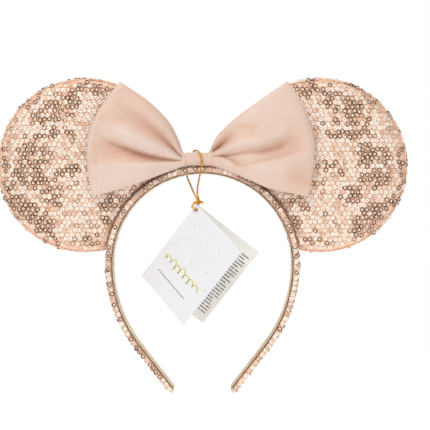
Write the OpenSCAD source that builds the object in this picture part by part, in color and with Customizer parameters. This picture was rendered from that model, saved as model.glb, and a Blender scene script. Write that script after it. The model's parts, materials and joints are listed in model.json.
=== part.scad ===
// Animal ears headband: a flexible wrapped band with two padded round ears,
// a gathered bow and a folded hang tag on a gold loop. Millimetres.
// The origin is the middle of the lining under the crown, where the head touches.
// X runs to the right, Y to the back and Z up. The bow faces -Y.

/* [Band] */
// Radius of the crown at the face that sits on the head
crown_r = 54.6; // [53:0.2:57]
// Radius of each leg at its inner face, below the flex point
leg_r = 80.3; // [78:0.1:84]
// How far each leg curls inward, in degrees
leg_curl = 38; // [36:1:40]
// Length of the straight end of each leg
tail_len = 35; // [30:1:37]
// Width of the band from front to back
band_w = 14; // [13:0.5:16]
// Thickness of the moulded core
core_t = 2; // [1.6:0.1:2.2]
// Thickness of the sequin fabric wrapped round the core
wrap_t = 0.9; // [0.7:0.1:1]
// Thickness of the lining ribbon
lining_t = 0.6; // [0.4:0.1:0.7]

/* [Ears] */
// Radius of each ear
ear_r = 52.9; // [50:0.1:54]
// Distance from the middle of the band to each ear's centre
ear_x = 72.1; // [70:0.1:73]
// Height of the ear centres above the head seat
ear_z = 5.3; // [4:0.1:7]
// Thickness of an ear at its middle
ear_t = 12; // [10:0.5:12]
// Thickness of the sequin panels
panel_t = 0.6; // [0.4:0.1:0.8]
// Thickness of the stiff board inside an ear
board_t = 1.2; // [0.8:0.1:1.5]
// Stitches that tack each ear to the band, on each face
ear_tacks = 7; // [3:1:9]

/* [Bow] */
// Sideways place of the bow's knot
bow_x = -2; // [-3:0.5:0]
// Width of the knot along the band
knot_w = 17; // [14:0.5:18]
// Height of the knot
knot_h = 8.2; // [8:0.1:9]
// Depth of the knot from front to back
knot_d = 10; // [9.5:0.5:11]
// Distance from the knot's middle to the outer edge of a loop
loop_reach = 68; // [64:0.5:69]
// Height of a loop's upper corner above the head seat
loop_top = 54; // [50:0.5:56]
// Drop of a loop's lower corner below the head seat
loop_drop = 13.8; // [12:0.2:15]

/* [Hang tag] */
// Width of each leaf, out from the fold
leaf_w = 48; // [44:1:50]
// Length of the fold
leaf_len = 57; // [54:1:60]
// Thickness of the card
card_t = 0.4; // [0.3:0.05:0.5]
// How far the front leaf hangs forward of the fold's plumb line, in degrees
front_turn = 23; // [18:1:25]
// How far the back leaf hangs behind it
back_turn = 14; // [10:1:16]
// Distance from the fold to the punched holes
hole_in = 2.9; // [2.8:0.1:3.1]
// Radius of the punched holes
hole_r = 1.3; // [1.2:0.05:1.4]
// Diameter of the gold cord
cord_d = 1.1; // [0.9:0.1:1.2]

/* [Hidden] */
$fn = 96;

fit = 0.05;          // play between layers that lie on each other
slit = 0.4;          // half the gap between crown and leg at a flex point
thread_r = 0.28;     // sewing thread

// Layers of the band, as distances out from the lining's inner face
wrap_in = lining_t + fit;
core_in = wrap_in + wrap_t;
core_out = core_in + core_t;
wrap_out = core_out + wrap_t;
core_mid = (core_in + core_out) / 2;
lining_w = band_w - 2.4;
core_w = band_w - 2 * wrap_t - 2 * fit;
knuckle_r = core_t / 2;
tail_kink = 0.6;     // turn between a leg's arc and its straight end, in degrees
tail_lap = 0.8;      // how far the straight end runs back into the arc

// Ears
ear_gap = 0.25;                      // between the wrap and an ear's base
base_r = crown_r + wrap_out + ear_gap;
rim_r = 2.2;                         // round edge of an ear
dome_rise = ear_t / 2 - rim_r;
dome_a = ear_r - rim_r;
dome_r = (dome_a * dome_a + dome_rise * dome_rise) / (2 * dome_rise);

// Bow
knot_y = -5;
knot_z = wrap_out + 0.25 + knot_h / 2;
knot_wall = 0.8;
neck_r = 2.5;

// Hang tag: its fold runs along fold_axis through eye_at, the middle of the cord's small eye
fold_axis = unit([0.59, -0.19, 0.755]);
// Square to the fold, and as near to straight down as that allows
down_in_fold = unit(fold_axis[2] * fold_axis - [0, 0, 1]);
across_fold = cross(fold_axis, down_in_fold);
eye_at = [-5, -3.1, -20.7];
fold_above_eye = 2.8;                     // from the eye to the card's top edge
string_knot_r = 1.2;
string_knot_up = fold_above_eye + 0.4 + string_knot_r;
string_knot_at = eye_at + string_knot_up * fold_axis;
string_end_w = cord_d - 0.1;              // the two cut ends are pressed a little thinner

// A point near the fold: r out from it, turned by a from straight down, and h along it from the eye
function by_fold(r, a, h) =
    eye_at + r * (cos(a) * down_in_fold + sin(a) * across_fold) + h * fold_axis;

// The cord's eye: down in front of the card, through both holes on an arc round the fold, and up behind
eye_route = [
    by_fold(0.5, -145, string_knot_up - 0.4),
    by_fold(1.5, -145, 3.3),
    by_fold(2.6, -140, 1.8),
    by_fold(hole_in, -132, 0.6),
    for (a = [-115 : 17.5 : 60])
        by_fold(hole_in, a, 0),
    by_fold(2.8, 74, 0.9),
    by_fold(2.4, 84, 2.3),
    by_fold(1.4, 90, 3.6),
    by_fold(0.5, 90, string_knot_up - 0.4)
];

// The gold loop: from its knot up the front, over the bow's knot, and down behind the band
string_route = [
    string_knot_at + [0.3, -0.4, 0.7],
    [-3.1, -5.2, -11.5],
    [-2.4, -7.8, -5.6],
    [-1.2, -10.2, 0],
    [-0.3, -11.1, 4.6],
    [-0.4, -11, 8.8],
    [-1.6, -9.5, 12.5],
    [-3.2, -6.8, 14],
    [-4.8, -3.2, 14],
    [-6.2, 0.8, 12.6],
    [-7.6, 5, 9.4],
    [-9.1, 8.2, 5.2],
    [-10.1, 8.7, 1],
    [-9.3, 8, -2.4],
    [-7.7, 5.6, -6],
    [-5.8, 1.6, -10.4],
    string_knot_at + [-0.3, 0.4, 0.7]
];
string_steps = 3;      // rings between two route points
string_sides = 8;

// ---------- helpers ----------

// Turns a flat XY outline into a slab across the band, centred on Y
module across(width) {
    rotate([90, 0, 0])
        linear_extrude(height = width, center = true)
            children();
}

module mirror_for(side) {
    if (side < 0)
        mirror([1, 0, 0]) children();
    else
        children();
}

function unit(v) = v / norm(v);

// Matrix whose columns are three axes and an origin
function placed(ax, ay, az, at) = [
    [ax[0], ay[0], az[0], at[0]],
    [ax[1], ay[1], az[1], at[1]],
    [ax[2], ay[2], az[2], at[2]],
    [0, 0, 0, 1]
];

// Turns v about the unit axis k by the angle a
function turned(v, k, a) =
    v * cos(a) + cross(k, v) * sin(a) + k * (k * v) * (1 - cos(a));

// ---------- band ----------

// Crown outline between two layer distances, ending short of the flex points
module crown_outline(n0, n1, short) {
    translate([0, -crown_r])
        intersection() {
            difference() {
                circle(crown_r + n1);
                circle(crown_r + n0);
            }
            translate([-crown_r - 10, short])
                square([2 * crown_r + 20, crown_r + 20]);
        }
}

// Right leg between two layer distances: an arc that starts below the flex point, and a straight end
module leg_slab(n0, n1, width, short, tip_short = 0) {
    across(width)
        translate([crown_r - leg_r, -crown_r])
            intersection() {
                difference() {
                    circle(leg_r + n1);
                    circle(leg_r + n0);
                }
                polygon([
                    [short / tan(leg_curl), -short],
                    [2 * leg_r, -short],
                    [2 * leg_r, -2 * leg_r * tan(leg_curl)]
                ]);
            }
    across(width)
        translate([crown_r - leg_r, -crown_r])
            rotate(-leg_curl)
                translate([leg_r, 0])
                    rotate(-tail_kink)
                        translate([n0, -tail_len + tip_short])
                            square([n1 - n0, tail_len - tip_short + tail_lap]);
}

module band_core_crown() {
    color("whitesmoke")
        difference() {
            across(core_w)
                crown_outline(core_in + fit, core_out - fit, 0);
            for (side = [-1, 1])
                translate([side * (crown_r + core_mid), 0, -crown_r])
                    rotate([90, 0, 0])
                        cylinder(r = knuckle_r + 0.15, h = band_w, center = true);
        }
}

module leg_core(side) {
    color("whitesmoke")
        mirror_for(side) {
            leg_slab(core_in + fit, core_out - fit, core_w, 0, wrap_t + fit);
            translate([crown_r + core_mid, 0, -crown_r])
                rotate([90, 0, 0])
                    cylinder(r = knuckle_r - fit, h = core_w, center = true);
        }
}

module band_cover_crown() {
    color("peachpuff")
        difference() {
            across(band_w)
                crown_outline(wrap_in, wrap_out, slit);
            across(band_w - 2 * wrap_t)
                crown_outline(core_in, core_out, 0);
        }
}

module leg_cover(side) {
    color("peachpuff")
        mirror_for(side)
            difference() {
                leg_slab(wrap_in, wrap_out, band_w, slit);
                leg_slab(core_in, core_out, band_w - 2 * wrap_t, 0, wrap_t);
            }
}

module band_lining_crown() {
    color("burlywood")
        across(lining_w)
            crown_outline(0, lining_t, slit);
}

module leg_lining(side) {
    color("burlywood")
        mirror_for(side)
            leg_slab(0, lining_t, lining_w, slit, 2);
}

// ---------- ears ----------

// Half of an ear's section, from the middle plane up: a shallow dome with a round rim
module ear_section(inset, from_h) {
    intersection() {
        union() {
            intersection() {
                translate([0, dome_rise + rim_r - dome_r])
                    circle(dome_r - inset, $fn = 240);
                translate([0, -1])
                    square([dome_a, ear_t]);
            }
            translate([dome_a, 0])
                circle(rim_r - inset);
        }
        translate([0, from_h])
            square([ear_r + 1, ear_t]);
    }
}

// Front half of the right ear, shrunk by inset, with its concave base along the band
module ear_half(inset, from_h) {
    difference() {
        translate([ear_x, 0, ear_z])
            rotate([90, 0, 0])
                rotate_extrude()
                    ear_section(inset, from_h);
        translate([0, 0, -crown_r])
            rotate([90, 0, 0])
                cylinder(r = base_r + inset, h = 3 * ear_t, center = true);
    }
}

module facing(back) {
    if (back)
        mirror([0, 1, 0]) children();
    else
        children();
}

module ear_panel(side, back) {
    color("peachpuff")
        mirror_for(side)
            facing(back)
                difference() {
                    ear_half(0, 0);
                    ear_half(panel_t, -0.5);
                }
}

module ear_wadding(side, back) {
    color("white")
        mirror_for(side)
            facing(back)
                ear_half(panel_t + fit, board_t / 2 + fit);
}

module ear_board(side) {
    color("tan")
        mirror_for(side)
            difference() {
                translate([ear_x, 0, ear_z])
                    rotate([90, 0, 0])
                        cylinder(r = ear_r - 2.6, h = board_t, center = true);
                translate([0, 0, -crown_r])
                    rotate([90, 0, 0])
                        cylinder(r = base_r + 1.6, h = 3 * ear_t, center = true);
            }
}

// Short threads from the wrap into the ear's base, spread along the arc they share
module ear_tack_stitches(side) {
    first = 24;
    last = 76;
    color("rosybrown")
        mirror_for(side)
            for (y = [-1.6, 1.6], i = [0 : ear_tacks - 1])
                translate([0, y, -crown_r])
                    rotate([0, first + (last - first) * i / (ear_tacks - 1), 0])
                        translate([0, 0, base_r - ear_gap - 0.5])
                            cylinder(r = thread_r, h = 1 + ear_gap, $fn = 16);
}

// ---------- bow ----------

// One padded loop: a fan from the knot to an upper and a lower corner
module bow_loop(side) {
    edge = 1.2;
    color("mistyrose")
        translate([bow_x, 0, 0])
            mirror_for(side) {
                hull($fn = 20) {
                    translate([10, knot_y, knot_z])
                        sphere(2.8);
                    translate([22, knot_y - 2, 24])
                        sphere(2.6);
                    translate([loop_reach - 17, knot_y - 6, loop_top - edge])
                        sphere(edge);
                    translate([loop_reach - edge, knot_y - 6, 15])
                        sphere(edge);
                    translate([loop_reach - 4, knot_y - 6, edge - loop_drop])
                        sphere(edge);
                    translate([42, knot_y - 8.4, 24])
                        sphere(5);
                    translate([46, knot_y - 8, 4])
                        sphere(4.4);
                }
                translate([0.1, knot_y, knot_z])
                    rotate([0, 90, 0])
                        cylinder(r = neck_r, h = 10);
            }
}

// Round-ended outline of the knot, seen along the band
module knot_outline(shrink) {
    r = knot_h / 2 - shrink;
    run = (knot_d - knot_h) / 2;
    for (s = [-1, 1])
        translate([s * run, 0])
            circle(r);
    square([2 * run, 2 * r], center = true);
}

module bow_knot_wrap() {
    color("mistyrose")
        translate([bow_x, knot_y, knot_z])
            rotate([90, 0, 90])
                linear_extrude(height = knot_w, center = true)
                    difference() {
                        knot_outline(0);
                        knot_outline(knot_wall);
                    }
}

module bow_gather_thread() {
    color("rosybrown")
        for (i = [-1 : 1])
            translate([bow_x + 0.7 * i, knot_y, knot_z])
                rotate([0, 90, 0])
                    rotate_extrude()
                        translate([neck_r + thread_r + 0.08, 0])
                            circle(thread_r, $fn = 16);
}

module bow_tack_stitches() {
    color("rosybrown")
        for (x = [-5, 0, 5])
            translate([bow_x + x, knot_y, wrap_out - 0.6])
                cylinder(r = thread_r, h = 1.3, $fn = 16);
}

// ---------- hang tag ----------

// Smooth point between p1 and p2 of a Catmull-Rom curve
function smooth_point(p0, p1, p2, p3, t) =
    0.5 * (2 * p1 + (p2 - p0) * t + (2 * p0 - 5 * p1 + 4 * p2 - p3) * t * t
           + (3 * p1 - p0 - 3 * p2 + p3) * t * t * t);

function smooth_route(p, steps) = [
    for (i = [0 : len(p) - 2], j = [0 : steps - 1])
        smooth_point(p[max(i - 1, 0)], p[i], p[i + 1], p[min(i + 2, len(p) - 1)], j / steps),
    p[len(p) - 1]
];

function tangent(p, i) = unit(p[min(i + 1, len(p) - 1)] - p[max(i - 1, 0)]);

// Normals carried along the route without twist
function carried(p, i, n) =
    let (t = tangent(p, i), m = unit(n - t * (n * t)))
        i == len(p) - 1 ? [m] : concat([m], carried(p, i + 1, m));

module tube(p, r, sides) {
    normals = carried(p, 0, [1, 0, 0]);
    last = len(p) - 1;
    points = [
        for (i = [0 : last])
            let (n = normals[i], b = cross(tangent(p, i), n))
                for (k = [0 : sides - 1])
                    p[i] + r * (n * cos(360 * k / sides) + b * sin(360 * k / sides))
    ];
    faces = concat(
        [[for (k = [0 : sides - 1]) k]],
        [
            for (i = [0 : last - 1], k = [0 : sides - 1])
                let (a = i * sides + k, b = i * sides + (k + 1) % sides)
                    [a, a + sides, b + sides, b]
        ],
        [[for (k = [0 : sides - 1]) last * sides + sides - 1 - k]]
    );
    polyhedron(points, faces, convexity = 8);
}

module tag_string_loop() {
    color("gold")
        tube(smooth_route(string_route, string_steps), cord_d / 2, string_sides);
}

module tag_string_eye() {
    color("gold")
        tube(eye_route, cord_d / 2, string_sides);
}

// The overhand knot and its two cut ends
module tag_string_knot() {
    color("gold")
        translate(string_knot_at) {
            sphere(string_knot_r, $fn = 32);
            for (side = [-1, 1])
                rotate([0, side * 106, 20])
                    cylinder(d = string_end_w, h = 3, $fn = 20);
        }
}

// A leaf lies from the fold along out, with its thickness on the side that inner points away from
module tag_leaf(out, inner) {
    gap = 0.25;
    color("white")
        multmatrix(placed(out, fold_axis, -inner, eye_at))
            difference() {
                translate([gap, fold_above_eye - leaf_len, 0])
                    cube([leaf_w - gap, leaf_len, card_t]);
                translate([hole_in, 0, -1])
                    cylinder(r = hole_r, h = 2 + card_t);
            }
}

// The leaves spring apart, the front one further from the fold's plumb line than the back one
module tag_back_leaf() {
    out = turned(down_in_fold, fold_axis, back_turn);
    tag_leaf(out, -cross(fold_axis, out));
}

module tag_front_leaf() {
    out = turned(down_in_fold, fold_axis, -front_turn);
    tag_leaf(out, cross(fold_axis, out));
}

// ---------- nodes ----------

band_core_crown();
leg_core(-1);  // left_leg_core
leg_core(1);  // right_leg_core
band_cover_crown();
leg_cover(-1);  // left_leg_cover
leg_cover(1);  // right_leg_cover
band_lining_crown();
leg_lining(-1);  // left_leg_lining
leg_lining(1);  // right_leg_lining
ear_board(-1);  // left_ear_board
ear_wadding(-1, false);  // left_ear_front_wadding
ear_wadding(-1, true);  // left_ear_back_wadding
ear_panel(-1, false);  // left_ear_front_panel
ear_panel(-1, true);  // left_ear_back_panel
ear_tack_stitches(-1);  // left_ear_tack_stitches
ear_board(1);  // right_ear_board
ear_wadding(1, false);  // right_ear_front_wadding
ear_wadding(1, true);  // right_ear_back_wadding
ear_panel(1, false);  // right_ear_front_panel
ear_panel(1, true);  // right_ear_back_panel
ear_tack_stitches(1);  // right_ear_tack_stitches
bow_loop(-1);  // bow_left_loop
bow_loop(1);  // bow_right_loop
bow_gather_thread();
bow_knot_wrap();
bow_tack_stitches();
tag_string_loop();
tag_string_knot();
tag_string_eye();
tag_back_leaf();
tag_front_leaf();
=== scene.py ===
"""The looks of the animal ears headband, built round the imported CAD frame. All lengths are metres."""
import json
import math
import random

import bpy
import numpy as np
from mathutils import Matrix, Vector, noise
from mathutils.bvhtree import BVHTree


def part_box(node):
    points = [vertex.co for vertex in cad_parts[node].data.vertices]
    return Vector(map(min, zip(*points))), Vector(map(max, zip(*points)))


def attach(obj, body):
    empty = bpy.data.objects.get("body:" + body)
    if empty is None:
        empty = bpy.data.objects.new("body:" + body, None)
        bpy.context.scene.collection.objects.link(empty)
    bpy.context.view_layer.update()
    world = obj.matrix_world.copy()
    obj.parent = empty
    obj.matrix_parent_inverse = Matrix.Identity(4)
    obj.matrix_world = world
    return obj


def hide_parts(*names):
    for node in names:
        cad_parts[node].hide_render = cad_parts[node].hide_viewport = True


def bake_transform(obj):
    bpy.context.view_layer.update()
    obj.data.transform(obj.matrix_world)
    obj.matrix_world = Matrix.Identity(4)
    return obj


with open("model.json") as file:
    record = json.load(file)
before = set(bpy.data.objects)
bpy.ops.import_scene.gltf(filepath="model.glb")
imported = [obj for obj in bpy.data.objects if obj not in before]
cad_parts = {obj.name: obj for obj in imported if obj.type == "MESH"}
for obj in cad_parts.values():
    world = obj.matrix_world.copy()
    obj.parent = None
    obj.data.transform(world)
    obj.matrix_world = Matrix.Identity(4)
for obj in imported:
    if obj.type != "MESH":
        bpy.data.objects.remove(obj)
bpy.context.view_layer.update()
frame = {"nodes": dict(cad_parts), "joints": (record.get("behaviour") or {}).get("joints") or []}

MM = 0.001

# ---------- measures taken from the frame ----------

joints = {j["name"]: j for j in frame["joints"]}
flex = Vector(joints["right_leg_flex"]["pos_m"])
CROWN_R = -flex.z  # inner radius of the crown; the arc's centre is this far below the origin
_, cover_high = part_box("band_cover_crown")
WRAP_OUT = cover_high.z
BAND_HALF = cover_high.y
_, lining_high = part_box("band_lining_crown")
LINING_HALF = lining_high.y
ear_low, ear_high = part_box("right_ear_front_panel")
EAR_R = (ear_high.z - ear_low.z) / 2
EAR_Z = (ear_high.z + ear_low.z) / 2
EAR_X = ear_high.x - EAR_R
EAR_HALF = -ear_low.y
knot_low, knot_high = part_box("bow_knot_wrap")
KNOT = (Vector(knot_low) + Vector(knot_high)) / 2
KNOT_HALF = (Vector(knot_high) - Vector(knot_low)) / 2
FOLD_AXIS = Vector(joints["tag_swing"]["axis"]).normalized()
EYE = Vector(joints["tag_swing"]["pos_m"])

# Shapes that a box can't give, as the part's source has them
LEG_R = 80.3 * MM
LEG_CURL = math.radians(38)
TAIL = 35 * MM
CARD_T = 0.4 * MM
FRONT_TURN = 23  # degrees that each leaf of the tag hangs from the fold's plumb line
BACK_TURN = 14
HOLE_IN = 2.9 * MM
CORD_D = 1.1 * MM
KNOT_UP = 4.4 * MM

DOWN_IN_FOLD = (FOLD_AXIS.z * FOLD_AXIS - Vector((0, 0, 1))).normalized()
ACROSS_FOLD = FOLD_AXIS.cross(DOWN_IN_FOLD)
STRING_KNOT = EYE + KNOT_UP * FOLD_AXIS

CROWN_S = CROWN_R * math.pi / 2
LEG_S = LEG_R * LEG_CURL
BAND_S = CROWN_S + LEG_S + TAIL  # from the middle of the crown to a tip, along the lining
BASE_R = CROWN_R + WRAP_OUT + 0.25 * MM  # the ears' bases lie on this radius
SIDES = ((1, "right"), (-1, "left"))
SPLINE_STEPS = 24  # points made between two given ones, before they are spaced evenly


def smoothstep(x, low=0.0, high=1.0):
    t = np.clip((np.asarray(x, float) - low) / (high - low), 0, 1)
    return t * t * (3 - 2 * t)


def linear(r, g, b):
    """An sRGB colour, 0 to 255, as the shader's linear RGBA."""
    parts = [c / 255 for c in (r, g, b)]
    return tuple(c / 12.92 if c < 0.04045 else ((c + 0.055) / 1.055) ** 2.4 for c in parts) + (1.0,)


def spline(points, places):
    """Points on a Catmull-Rom curve through the given ones: so many, evenly spaced, or at given shares of it."""
    p = np.array([tuple(q) for q in points], float)
    padded = np.vstack([2 * p[0] - p[1], p, 2 * p[-1] - p[-2]])
    dense = []
    for i in range(len(p) - 1):
        a, b, c, d = padded[i : i + 4]
        for t in np.linspace(0, 1, SPLINE_STEPS, endpoint=False):
            squared = (2 * a - 5 * b + 4 * c - d) * t**2
            cubed = (3 * b - a - 3 * c + d) * t**3
            dense.append(0.5 * (2 * b + (c - a) * t + squared + cubed))
    dense.append(p[-1])
    dense = np.array(dense)
    run = np.concatenate([[0], np.cumsum(np.linalg.norm(np.diff(dense, axis=0), axis=1))])
    want = np.linspace(0, 1, places) if np.isscalar(places) else places
    return np.stack([np.interp(want * run[-1], run, dense[:, k]) for k in range(p.shape[1])], axis=1)


# ---------- camera, lights and stage ----------

VIEW_CENTRE = Vector((7.7 * MM, 0, -25.2 * MM))
VIEW_WIDTH = 264 * MM  # how much of the object's plane the picture takes in
VIEW_DISTANCE = 650 * MM
WORLD_LIGHT = 0.42
SENSOR_WIDTH = 36  # mm, the unit that Blender gives it in
FLOOR_R = 0.45
FLOOR_Z = -0.16

camera = bpy.data.objects.new("camera", bpy.data.cameras.new("camera"))
bpy.context.scene.collection.objects.link(camera)
camera.location = VIEW_CENTRE + Vector((0, -VIEW_DISTANCE, 0))
camera.rotation_euler = (math.pi / 2, 0, 0)
camera.data.sensor_width = SENSOR_WIDTH
camera.data.lens = SENSOR_WIDTH * VIEW_DISTANCE / VIEW_WIDTH
bpy.context.scene.camera = camera
bpy.context.scene.view_settings.view_transform = "Standard"


def area_light(name, place, target, size, power, tint=(1, 1, 1)):
    data = bpy.data.lights.new(name, "AREA")
    data.shape = "SQUARE"
    data.size = size
    data.energy = power
    data.color = tint
    light = bpy.data.objects.new(name, data)
    bpy.context.scene.collection.objects.link(light)
    light.location = place
    light.rotation_euler = (Vector(target) - Vector(place)).to_track_quat("-Z", "Y").to_euler()


area_light("key", (-0.38, -0.6, 0.85), (0, 0, 0), 0.45, 6.6, (1, 0.985, 0.97))
area_light("fill", (0.5, -0.95, 0.15), (0, 0, -0.02), 0.6, 2.4)
area_light("back", (0.1, 0.9, 0.6), (0, 0, 0), 0.6, 4.5)

world = bpy.data.worlds.new("studio")
bpy.context.scene.world = world
world.use_nodes = True
background = world.node_tree.nodes["Background"]
background.inputs["Color"].default_value = (1, 1, 1, 1)
# The backdrop is plain white to the camera and a softer light to everything else
light_path = world.node_tree.nodes.new("ShaderNodeLightPath")
strength = world.node_tree.nodes.new("ShaderNodeMapRange")
strength.inputs["To Min"].default_value = WORLD_LIGHT
strength.inputs["To Max"].default_value = 1.0
world.node_tree.links.new(light_path.outputs["Is Camera Ray"], strength.inputs["Value"])
world.node_tree.links.new(strength.outputs["Result"], background.inputs["Strength"])

# ---------- materials ----------

WAVE_REPEAT = 0.314  # a wave texture of scale 1 repeats after this length


def shader_of(mat):
    return mat.node_tree.nodes["Principled BSDF"]


def set_sockets(node, sockets):
    """Sets a node's inputs, whose names here have _ for a space."""
    for socket, value in sockets.items():
        node.inputs[socket.replace("_", " ")].default_value = value


def add_node(mat, kind, **sockets):
    node = mat.node_tree.nodes.new(kind)
    set_sockets(node, sockets)
    return node


def link(mat, output, socket):
    mat.node_tree.links.new(output, socket)


def material(name, colour, rough, metallic=0.0, **extra):
    """A principled material whose nodes the caller goes on to build."""
    mat = bpy.data.materials.new(name)
    mat.use_nodes = True
    set_sockets(shader_of(mat), {"Base_Color": colour, "Roughness": rough, "Metallic": metallic, **extra})
    mat.diffuse_color = colour
    return mat


def by_object(mat, texture):
    """Lays a texture in the piece's own coordinates and gives its value."""
    coords = add_node(mat, "ShaderNodeTexCoord")
    link(mat, coords.outputs["Object"], texture.inputs["Vector"])
    return texture.outputs["Fac"]


def noise_value(mat, size, detail=2.0, rough=0.5):
    """Noise whose features are about size mm across."""
    scale = 1 / (size * MM)
    return by_object(mat, add_node(mat, "ShaderNodeTexNoise", Scale=scale, Detail=detail, Roughness=rough))


def wave_value(mat, size, axis, distortion):
    """Parallel ridges, size mm apart, across the named axis."""
    texture = add_node(mat, "ShaderNodeTexWave", Scale=WAVE_REPEAT / (size * MM), Distortion=distortion)
    texture.wave_type = "BANDS"
    texture.bands_direction = axis
    return by_object(mat, texture)


def spread(mat, value, low, high):
    """A value of 0 to 1, spread from low to high."""
    node = add_node(mat, "ShaderNodeMapRange", To_Min=low, To_Max=high)
    link(mat, value, node.inputs["Value"])
    return node.outputs["Result"]


def colour_from(mat, value, stops):
    """Colours the base by a value, through stops of (position, colour)."""
    ramp = add_node(mat, "ShaderNodeValToRGB")
    elements = ramp.color_ramp.elements
    while len(elements) < len(stops):
        elements.new(0.5)
    for element, (place, colour) in zip(elements, stops):
        element.position = place
        element.color = colour
    link(mat, value, ramp.inputs["Fac"])
    link(mat, ramp.outputs["Color"], shader_of(mat).inputs["Base Color"])


def rough_from(mat, size, low, high):
    """Roughness from low to high, by noise with features size mm across."""
    link(mat, spread(mat, noise_value(mat, size), low, high), shader_of(mat).inputs["Roughness"])


def bumps(mat, *layers):
    """Stacks bump layers, all measures in mm.

    A layer is (size, detail, height) of noise, which may have a roughness before its height, or
    (size, axis, distortion, height) of ridges.
    """
    normal = None
    for *grain, height in layers:
        value = wave_value(mat, *grain) if isinstance(grain[1], str) else noise_value(mat, *grain)
        bump = add_node(mat, "ShaderNodeBump", Distance=height * MM, Strength=1.0)
        link(mat, value, bump.inputs["Height"])
        if normal:
            link(mat, normal, bump.inputs["Normal"])
        normal = bump.outputs["Normal"]
    link(mat, normal, shader_of(mat).inputs["Normal"])


def grained(name, colour, rough, grain, stops, *layers, **extra):
    """A material whose colour wanders between stops by a grain of (size, detail), bumped in layers."""
    mat = material(name, colour, rough, **extra)
    colour_from(mat, noise_value(mat, *grain), stops)
    if layers:
        bumps(mat, *layers)
    return mat


def darker(colour, k):
    return tuple(c * k for c in colour[:3]) + (1.0,)


def satin_material():
    """Peach satin whose colour follows a painted shade attribute: deeper in its folds, where shade falls and light
    bounces between the cloth's own faces, and paler where a highlight is painted.
    """
    pale, shade, deep = linear(225, 201, 187), linear(221, 189, 170), linear(194, 142, 116)
    mat = material("satin", pale, 0.5, Sheen_Weight=0.3, Sheen_Roughness=0.35, Specular_IOR_Level=0.35)
    # The fold attribute is painted shade, set on each vertex of the loops and knot; the colour ramp turns it into
    # deeper peach.
    fold = add_node(mat, "ShaderNodeAttribute")
    fold.attribute_name = "fold"
    total = add_node(mat, "ShaderNodeMath")
    total.operation = "ADD"
    link(mat, fold.outputs["Fac"], total.inputs[0])
    link(mat, spread(mat, noise_value(mat, 16, 3), -0.08, 0.08), total.inputs[1])
    colour_from(mat, total.outputs["Value"], [(0.0, pale), (0.3, shade), (1.0, deep)])
    rough_from(mat, 6, 0.4, 0.55)
    bumps(mat, (0.28, "DIAGONAL", 0.3, 0.012), (3.5, 3, 0.08))
    return mat


def backing_material(name, warm, light):
    """The peach net that the sequins are sewn to."""
    ridges = [(0.7, axis, 1.0, 0.08) for axis in "XZ"]
    stops = [(0.35, warm), (0.65, light)]
    return grained(name, warm, 0.75, (1.6, 4), stops, *ridges, (0.9, 2, 0.1), Sheen_Weight=0.2)


def sequin_material(name, dark, light, rough, metallic):
    extra = {"metallic": metallic, "Specular_IOR_Level": 0.6}
    mat = grained(name, light, rough, (2.2, 2), [(0.38, dark), (0.62, light)], (0.5, 1, 0.015), **extra)
    rough_from(mat, 0.8, rough * 0.8, rough * 1.3)
    return mat


def thread_material(name, colour):
    stops = [(0.3, darker(colour, 0.7)), (0.7, colour)]
    return grained(name, colour, 0.8, (1.2, 2), stops, (0.3, "DIAGONAL", 1.0, 0.06), Sheen_Weight=0.2)


def gold_cord_material():
    stops = [(0.3, linear(150, 96, 14)), (0.5, linear(212, 152, 30)), (0.72, linear(250, 214, 110))]
    mat = grained("gold_cord", linear(214, 160, 40), 0.36, (0.7, 2), stops, (0.25, 1, 0.04), metallic=0.75)
    rough_from(mat, 0.5, 0.25, 0.5)
    return mat


def card_material(name, colour):
    stops, layers = [(0.3, darker(colour, 0.975)), (0.7, colour)], [(0.25, 3, 0.008), (20, 2, 0.15)]
    mat = grained(name, colour, 0.55, (9, 4), stops, *layers, Specular_IOR_Level=0.3)
    rough_from(mat, 2, 0.5, 0.62)
    return mat


def fibre_material(name, colour, size, height):
    stops = [(0.3, darker(colour, 0.88)), (0.7, colour)]
    return grained(name, colour, 0.95, (size * 3, 4), stops, (size, 5, 0.7, height), Sheen_Weight=0.4)


LINING_STOPS = [(0.35, linear(208, 182, 145)), (0.65, linear(218, 193, 157))]
LINING_WEAVE = (0.55, "Y", 0.4, 0.05)
FOIL_STOPS = [(0.35, linear(206, 178, 50)), (0.65, linear(236, 218, 110))]
INK_STOPS = [(0.3, linear(120, 117, 118)), (0.7, linear(160, 157, 157))]
CORE_STOPS = [(0.3, linear(226, 224, 218)), (0.7, linear(240, 238, 233))]
FLOOR_STOPS = [(0.3, linear(248, 248, 248)), (0.7, linear(252, 252, 252))]
# Keeps the floor as white as the backdrop
FLOOR_GLOW = {"Emission_Color": (1, 1, 1, 1), "Emission_Strength": 0.4}

SATIN = satin_material()
BACKING = backing_material("ear_sequin_net", linear(234, 184, 152), linear(248, 213, 188))
BAND_NET = backing_material("band_sequin_net", linear(212, 172, 148), linear(237, 207, 187))
# The sequin tones paint what one metal sequin reflects: cream a painted bright reflection, tan and bronze painted
# dark reflections, rose the middle tone.
CREAM_BRIGHT_REFLECTION = sequin_material("sequin_cream_bright_reflection", linear(246, 222, 202), linear(255, 243, 230), 0.3, 0.15)
ROSE = sequin_material("sequin_rose", linear(226, 184, 158), linear(243, 212, 190), 0.3, 0.35)
TAN = sequin_material("sequin_tan_dark_reflection", linear(170, 128, 98), linear(206, 166, 134), 0.3, 0.55)
BRONZE_DARK_REFLECTION = sequin_material("sequin_bronze_dark_reflection", linear(94, 53, 25), linear(150, 98, 57), 0.34, 0.4)
LINING = grained(
    "lining_ribbon", linear(214, 188, 150), 0.8, (4, 3), LINING_STOPS, LINING_WEAVE, (0.4, 2, 0.05), Sheen_Weight=0.25
)
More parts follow.
